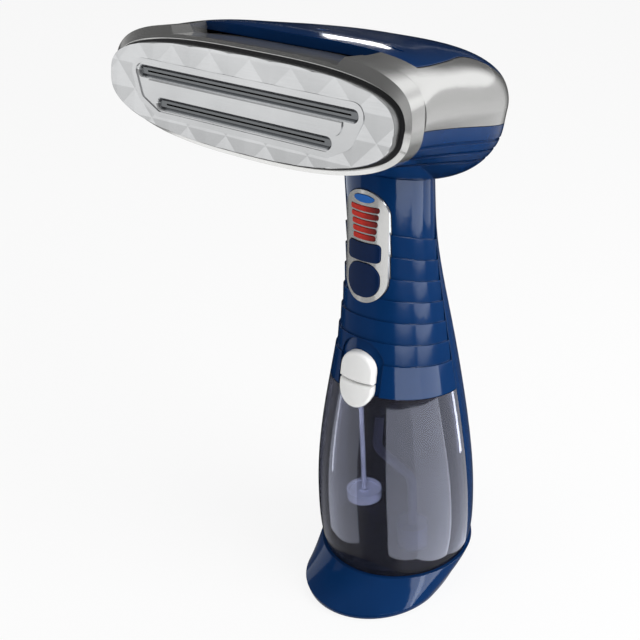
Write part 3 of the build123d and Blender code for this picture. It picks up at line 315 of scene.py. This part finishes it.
# One finish for each material slot: its name, darker and lighter colour, and range of roughness
MATERIALS = {
    "navy": moulded(
        "navy_gloss", (0.0020, 0.021, 0.082), (0.0034, 0.028, 0.106), (0.07, 0.12), 0.09, edge=0.0004
    ),
    "silver": flaked("silver_paint", (0.66, 0.66, 0.65), (0.73, 0.73, 0.72), (0.13, 0.19)),
    # the third colour is painted shade for the plate's sunk channels
    "plate": plate_finish(
        "polished_plate", (0.74, 0.75, 0.76), (0.82, 0.83, 0.84), (0.22, 0.23, 0.24), (0.18, 0.26)
    ),
    "heater": brushed(
        "cast_chamber", (0.42, 0.42, 0.42), (0.56, 0.56, 0.55), (0.42, 0.60), (500.0, 500.0, 500.0)
    ),
    "steel": brushed(
        "plain_steel", (0.44, 0.44, 0.45), (0.58, 0.58, 0.59), (0.24, 0.36), (200.0, 200.0, 3000.0)
    ),
    "pearl": moulded("pearl_gloss", (0.84, 0.84, 0.83), (0.89, 0.89, 0.88), (0.16, 0.26), 0.5, coat=0.3),
    "smoke": smoked(
        "smoked_clear", (0.115, 0.120, 0.160), (0.155, 0.160, 0.215), (0.02, 0.024, 0.036), (0.04, 0.09)
    ),
    "milky": moulded("milky_clear", (0.66, 0.70, 0.84), (0.76, 0.80, 0.92), (0.20, 0.32), 0.5),
    "hose": moulded("silicone_hose", (0.50, 0.52, 0.56), (0.62, 0.64, 0.68), (0.30, 0.45), 0.5),
    "seal": moulded("black_seal", (0.010, 0.010, 0.011), (0.020, 0.020, 0.022), (0.45, 0.62), 0.4),
    "sole": moulded(
        "black_sole", (0.012, 0.012, 0.013), (0.026, 0.026, 0.028), (0.62, 0.80), 0.4, depth=0.00006
    ),
    "button": moulded("button_gloss", (0.0012, 0.010, 0.045), (0.0022, 0.015, 0.062), (0.12, 0.20), 0.3),
    # red light bars: a painted light colour and a painted shade colour, which also tints the spots
    "red": light_bar("red_light_bar", (0.60, 0.030, 0.018), (0.10, 0.010, 0.010), (0.08, 0.16)),
    "blue": moulded("blue_lens", (0.010, 0.085, 0.34), (0.020, 0.15, 0.52), (0.06, 0.12), 0.4),
    "board": moulded("solder_mask", (0.006, 0.060, 0.026), (0.012, 0.10, 0.045), (0.26, 0.40), 0.5),
    "black": moulded("black_moulding", (0.012, 0.012, 0.013), (0.024, 0.024, 0.025), (0.35, 0.52), 0.4),
    "white": moulded("white_moulding", (0.62, 0.62, 0.60), (0.72, 0.72, 0.70), (0.35, 0.50), 0.5),
}


for slot_name, finish in MATERIALS.items():
    finish["slot"] = slot_name


def dress_nodes():
    """Every CAD node gets the finish of its own material slot."""
    for name, node in NODES.items():
        for index, held in enumerate(node.material_slots):
            slot = held.material.name.split(".")[0]
            if slot not in MATERIALS:
                raise ValueError(f"{name} has a material {slot} with no finish here")
            node.material_slots[index].material = MATERIALS[slot]


# Studio: a pale floor under a white surround, lamps that light the object, and boxes and
# cards that only its gloss and metal mirror.
FLOOR_HALF = 6.0
FLOOR_PAINT = (0.86, 0.86, 0.86)
FLOOR_SHADE = 0.14      # share of the floor's own paint, which takes the shadow; the rest glows white
FILL = 0.55             # how bright the surround is as a light
# What gloss and metal mirror of the surround: its grey, its bright side with that side's azimuth,
# height, inner and outer angle in degrees, and the share of the light that a dark patch keeps
SURROUND_GREY = 0.34
SIDE_GLOW = 1.0
BRIGHT_SIDE = (88.0, 14.0)
BRIGHT_REACH = (18.0, 40.0)
PATCH_SHADE = 0.06
# Dark patches: azimuth, height, inner and outer angle, in degrees
DARK_PATCHES = [
    (139.0, -6.0, 35.0, 47.0),
    (-66.0, -10.0, 18.0, 30.0),
    (-132.0, 22.0, 18.0, 40.0),
    (69.0, 30.0, 9.0, 19.0),
]
# The floor card: its side and lift, its grey, its bright side as above, and the patches it shares
FLOOR_CARD_SIDE = 11.0
FLOOR_CARD_LIFT = 0.002
FLOOR_CARD_GREY = 0.28
FLOOR_BRIGHT_SIDE = 82.0
FLOOR_BRIGHT_REACH = (16.0, 50.0)
FLOOR_PATCH_SHADE = 0.04
FLOOR_PATCHES = DARK_PATCHES[:2]
# Its bright side at three distances from the middle: distance and brightness
FLOOR_GLOW = ((0.40, 0.10), (0.62, 0.56), (1.3, 0.47))
# The plate card: width, height and place, how bright it is under and over its line, and
# where up the card the one turns into the other
PLATE_CARD_SIZE = (0.80, 0.50)
PLATE_CARD_PLACE = (-0.42, -0.68, 0.26)
PLATE_CARD_GLOW = (0.56, 0.88)
PLATE_CARD_LINE = (-0.10, 0.02)
BOX_TINT = (0.86, 0.92, 1.0)
CLEAR_TINT = (0.80, 0.84, 1.0)
# Lamps for the light itself: name, place, aim, width, height, radiance
SOFT_LAMPS = [
    ("key_lamp", (0.80, 0.14, 0.50), (0.0, 0.0, 0.16), 0.7, 0.7, 5.4),
    ("front_lamp", (-0.50, -0.95, 0.50), (0.0, 0.0, 0.18), 0.7, 0.7, 1.5),
    ("top_lamp", (0.0, 0.25, 1.15), (0.0, 0.0, 0.25), 0.8, 0.8, 0.3),
]
# The lamp that lights only the pale cap inside the tank, in the same order
CAP_NODE = "filter_cap"
CAP_LAMP = ("cap_lamp", (0.15, -0.20, 0.25), (0.0, -0.010, 0.060), 0.15, 0.15, 44.0)
# Boxes for the gloss, high up, and one for the metal that lies just over the floor and faces up,
# in the same order
RAISED_BOXES = [
    ("crown_box", (-0.314, 0.449, 0.345), (0.03, -0.04, 0.31), 0.085, 0.05, 18.0),
    ("ledge_box", (0.50, 0.09, 0.52), (0.0, 0.0, 0.17), 0.30, 0.30, 34.0),
]
RIM_BOX = ("rim_box", (-0.05, -0.22, 0.003), (-0.05, -0.22, 1.0), 0.60, 0.36, 0.85)
# The metal's standing box: name, azimuth in degrees, distance, width, height, radiance
PANEL_BOX = ("panel_box", -52.0, 0.45, 0.75, 0.22, 0.85)
# Soft boxes round the navy gloss, and close round the clear tank: name, azimuth in degrees,
# distance, width, height, lift, radiance
GLOSS_BOXES = [
    ("gloss_front", -28.0, 0.435, 0.34, 0.15, 0.0, 13.5),
    ("gloss_side", 12.0, 0.395, 0.27, 0.15, 0.0, 12.0),
    ("gloss_back", 47.0, 0.40, 0.26, 0.15, 0.02, 3.5),
    ("gloss_left", -170.0, 0.45, 0.60, 0.17, 0.0, 2.2),
    ("gloss_foot", 8.0, 0.062, 0.055, 0.03, 0.0, 15.0),
]
CLEAR_BOXES = [
    ("clear_front", -36.0, 0.054, 0.035, 0.11, 0.0, 4.0),
    ("clear_side", 1.0, 0.054, 0.037, 0.11, 0.0, 5.2),
    ("clear_back", 35.0, 0.056, 0.033, 0.11, 0.0, 1.9),
    ("clear_left", -125.0, 0.056, 0.058, 0.12, 0.0, 2.1),
    ("clear_line", -149.0, 0.10, 0.006, 0.10, 0.03, 6.0),
    ("clear_edge", 47.0, 0.10, 0.007, 0.07, 0.05, 12.0),
]
GLOSSY_SLOTS = ("navy",)
CLEAR_SLOTS = ("smoke",)
METAL_SLOTS = ("silver", "plate")


def seen_directly(nodes):
    """One for what the camera sees, straight on, in a mirror or through a clear piece."""
    rays = nodes.add("ShaderNodeLightPath")
    seen = nodes.math("MAXIMUM", rays.outputs["Is Camera Ray"], rays.outputs["Is Glossy Ray"])
    return nodes.math("MAXIMUM", seen, rays.outputs["Is Transmission Ray"])


def flat_piece(name, width, depth):
    """A flat rectangle that faces up, with its middle at the origin."""
    mesh = bpy.data.meshes.new(name)
    signs = [(-1, -1), (1, -1), (1, 1), (-1, 1)]
    mesh.from_pydata([(x * width / 2, y * depth / 2, 0.0) for x, y in signs], [], [(0, 1, 2, 3)])
    piece = bpy.data.objects.new(name, mesh)
    SCENE.collection.objects.link(piece)
    return piece


def make_floor():
    """A large pale floor that shows white, and keeps a soft share of the object's shadow."""
    floor = flat_piece("floor", 2 * FLOOR_HALF, 2 * FLOOR_HALF)
    material = bpy.data.materials.new("pale_floor")
    material.use_nodes = True
    nodes = Nodes(material.node_tree)
    matt = nodes.add("ShaderNodeBsdfDiffuse", {"Color": rgba(FLOOR_PAINT)})
    glow = nodes.add("ShaderNodeEmission", {"Color": rgba(WHITE), "Strength": 1.0})
    share = nodes.math("MULTIPLY", seen_directly(nodes), 1.0 - FLOOR_SHADE)
    mixed = nodes.add("ShaderNodeMixShader", {0: share, 1: matt.outputs[0], 2: glow.outputs[0]})
    nodes.finish(mixed.outputs[0])
    floor.data.materials.append(material)


def heading(azimuth, height=0.0):
    """The unit vector towards an azimuth, turned from +x towards +y, and a height, both in degrees."""
    turn, rise = math.radians(azimuth), math.radians(height)
    return (math.cos(turn) * math.cos(rise), math.sin(turn) * math.cos(rise), math.sin(rise))


def lobe(nodes, way, towards, inner, outer, start, end):
    """A round patch of the surround: start within its inner angle, and end past its outer angle."""
    facing = nodes.vector("DOT_PRODUCT", way, towards)
    limits = math.cos(math.radians(outer)), math.cos(math.radians(inner))
    return nodes.spread(facing.outputs["Value"], end, start, *limits)


def mirrored_light(nodes, way):
    """What gloss and metal mirror: a grey surround with one bright side and dark patches."""
    value = lobe(nodes, way, heading(*BRIGHT_SIDE), *BRIGHT_REACH, SIDE_GLOW, SURROUND_GREY)
    for azimuth, height, inner, outer in DARK_PATCHES:
        shade = lobe(nodes, way, heading(azimuth, height), inner, outer, PATCH_SHADE, 1.0)
        value = nodes.math("MULTIPLY", value, shade)
    return value


def make_world():
    """A white surround for what is seen, a grey one for what is mirrored, and a softer fill light."""
    world = bpy.data.worlds.new("surround")
    SCENE.world = world
    world.use_nodes = True
    nodes = Nodes(world.node_tree)
    rays = nodes.add("ShaderNodeLightPath")
    way = nodes.add("ShaderNodeTexCoord").outputs["Generated"]
    strength = nodes.spread(seen_directly(nodes), FILL, 1.0, 0.0, 1.0)
    mirror = nodes.add("ShaderNodeMix", data_type="FLOAT")
    nodes.tree.links.new(rays.outputs["Is Glossy Ray"], mirror.inputs[0])
    nodes.tree.links.new(strength, mirror.inputs[2])
    nodes.tree.links.new(mirrored_light(nodes, way), mirror.inputs[3])
    light = nodes.add("ShaderNodeBackground", {"Color": rgba(WHITE), "Strength": mirror.outputs[0]})
    nodes.add("ShaderNodeOutputWorld", {"Surface": light.outputs[0]})


def floor_card():
    """A card just over the floor that only gloss and metal mirror, with a bright side and dark patches."""
    piece = flat_piece("floor_card", FLOOR_CARD_SIDE, FLOOR_CARD_SIDE)
    piece.location = (0.0, 0.0, FLOOR_CARD_LIFT)
    material = bpy.data.materials.new("floor_card")
    material.use_nodes = True
    nodes = Nodes(material.node_tree)
    place = nodes.place()
    way = nodes.vector("NORMALIZE", place).outputs["Vector"]
    distance = nodes.vector("LENGTH", place).outputs["Value"]
    (near, near_glow), (middle, middle_glow), (far, far_glow) = FLOOR_GLOW
    rise = nodes.spread(distance, near_glow, middle_glow, near, middle)
    fall = nodes.spread(distance, middle_glow, far_glow, middle, far)
    side = nodes.math("MINIMUM", rise, fall)
    value = lobe(nodes, way, heading(FLOOR_BRIGHT_SIDE), *FLOOR_BRIGHT_REACH, side, FLOOR_CARD_GREY)
    for azimuth, _, inner, outer in FLOOR_PATCHES:
        shade = lobe(nodes, way, heading(azimuth), inner, outer, FLOOR_PATCH_SHADE, 1.0)
        value = nodes.math("MULTIPLY", value, shade)
    glow = nodes.add("ShaderNodeEmission", {"Color": rgba(WHITE), "Strength": value})
    nodes.finish(glow.outputs[0])
    piece.data.materials.append(material)
    only_mirrored(piece)


def only_mirrored(piece):
    """Hide a card from everything but the rays that gloss and metal send out."""
    for rays in ("camera", "diffuse", "transmission", "volume_scatter", "shadow"):
        setattr(piece, "visible_" + rays, False)


def plate_card():
    """The card that the plate mirrors: bright over a line, and darker towards the floor."""
    piece = flat_piece("plate_card", *PLATE_CARD_SIZE)
    piece.location = PLATE_CARD_PLACE
    piece.rotation_euler = (-Vector(piece.location)).to_track_quat("Z", "Y").to_euler()
    material = bpy.data.materials.new("plate_card")
    material.use_nodes = True
    nodes = Nodes(material.node_tree)
    height = nodes.add("ShaderNodeSeparateXYZ", {0: nodes.place()}).outputs["Y"]
    strength = nodes.spread(height, *PLATE_CARD_GLOW, *PLATE_CARD_LINE)
    glow = nodes.add("ShaderNodeEmission", {"Color": rgba(WHITE), "Strength": strength})
    nodes.finish(glow.outputs[0])
    piece.data.materials.append(material)
    only_mirrored(piece)


def pieces_of(name, slots):
    """A collection of the CAD nodes that have one of these material slots."""
    group = bpy.data.collections.new(name)
    for node in NODES.values():
        if any(held.material.get("slot") in slots for held in node.material_slots):
            group.objects.link(node)
    return group


def area_lamp(
    name, place, aim, width, height, radiance, rays, receivers=None, tint=WHITE, blockers=None
):
    """A rectangular lamp that faces a point. Its radiance is how bright it looks in a mirror."""
    lamp = bpy.data.lights.new(name, "AREA")
    lamp.shape = "RECTANGLE"
    lamp.size = width
    lamp.size_y = height
    lamp.color = tint
    lamp.energy = radiance * math.pi * width * height
    box = bpy.data.objects.new(name, lamp)
    box.location = place
    box.rotation_euler = (Vector(place) - Vector(aim)).to_track_quat("Z", "Y").to_euler()
    box.visible_camera = False
    box.visible_diffuse = rays == "diffuse"
    box.visible_glossy = rays == "glossy"
    box.visible_transmission = rays == "glossy"
    if receivers:
        box.light_linking.receiver_collection = receivers
    if blockers:
        box.light_linking.blocker_collection = blockers
    SCENE.collection.objects.link(box)


def standing_box(name, azimuth, distance, width, height, radiance, receivers, lift=0.0, tint=WHITE):
    """A soft box at that azimuth, standing on the floor or lifted over it, that faces the middle."""
    x, y, _ = heading(azimuth)
    middle = lift + height / 2
    place = (distance * x, distance * y, middle)
    area_lamp(name, place, (0.0, 0.0, middle), width, height, radiance, "glossy", receivers, tint)


def make_lights():
    """Soft lamps for the light itself, and boxes and cards for what the gloss and metal mirror."""
    for lamp in SOFT_LAMPS:
        area_lamp(*lamp, "diffuse")
    gloss = pieces_of("glossy_pieces", GLOSSY_SLOTS)
    clear = pieces_of("clear_pieces", CLEAR_SLOTS)
    metal = pieces_of("metal_pieces", METAL_SLOTS)
    for name, azimuth, distance, width, height, lift, radiance in GLOSS_BOXES:
        standing_box(name, azimuth, distance, width, height, radiance, gloss, lift, BOX_TINT)
    for name, azimuth, distance, width, height, lift, radiance in CLEAR_BOXES:
        standing_box(name, azimuth, distance, width, height, radiance, clear, lift, CLEAR_TINT)
    for box in RAISED_BOXES:
        area_lamp(*box, "glossy", gloss)
    area_lamp(*RIM_BOX, "glossy", metal)
    standing_box(*PANEL_BOX, metal)
    cap = bpy.data.collections.new("cap_piece")
    cap.objects.link(NODES[CAP_NODE])
    area_lamp(*CAP_LAMP, "diffuse", cap, blockers=cap)
    floor_card()
    plate_card()


make_camera()
dress_nodes()
make_floor()
make_world()
make_lights()
SCENE.view_settings.view_transform = "Standard"
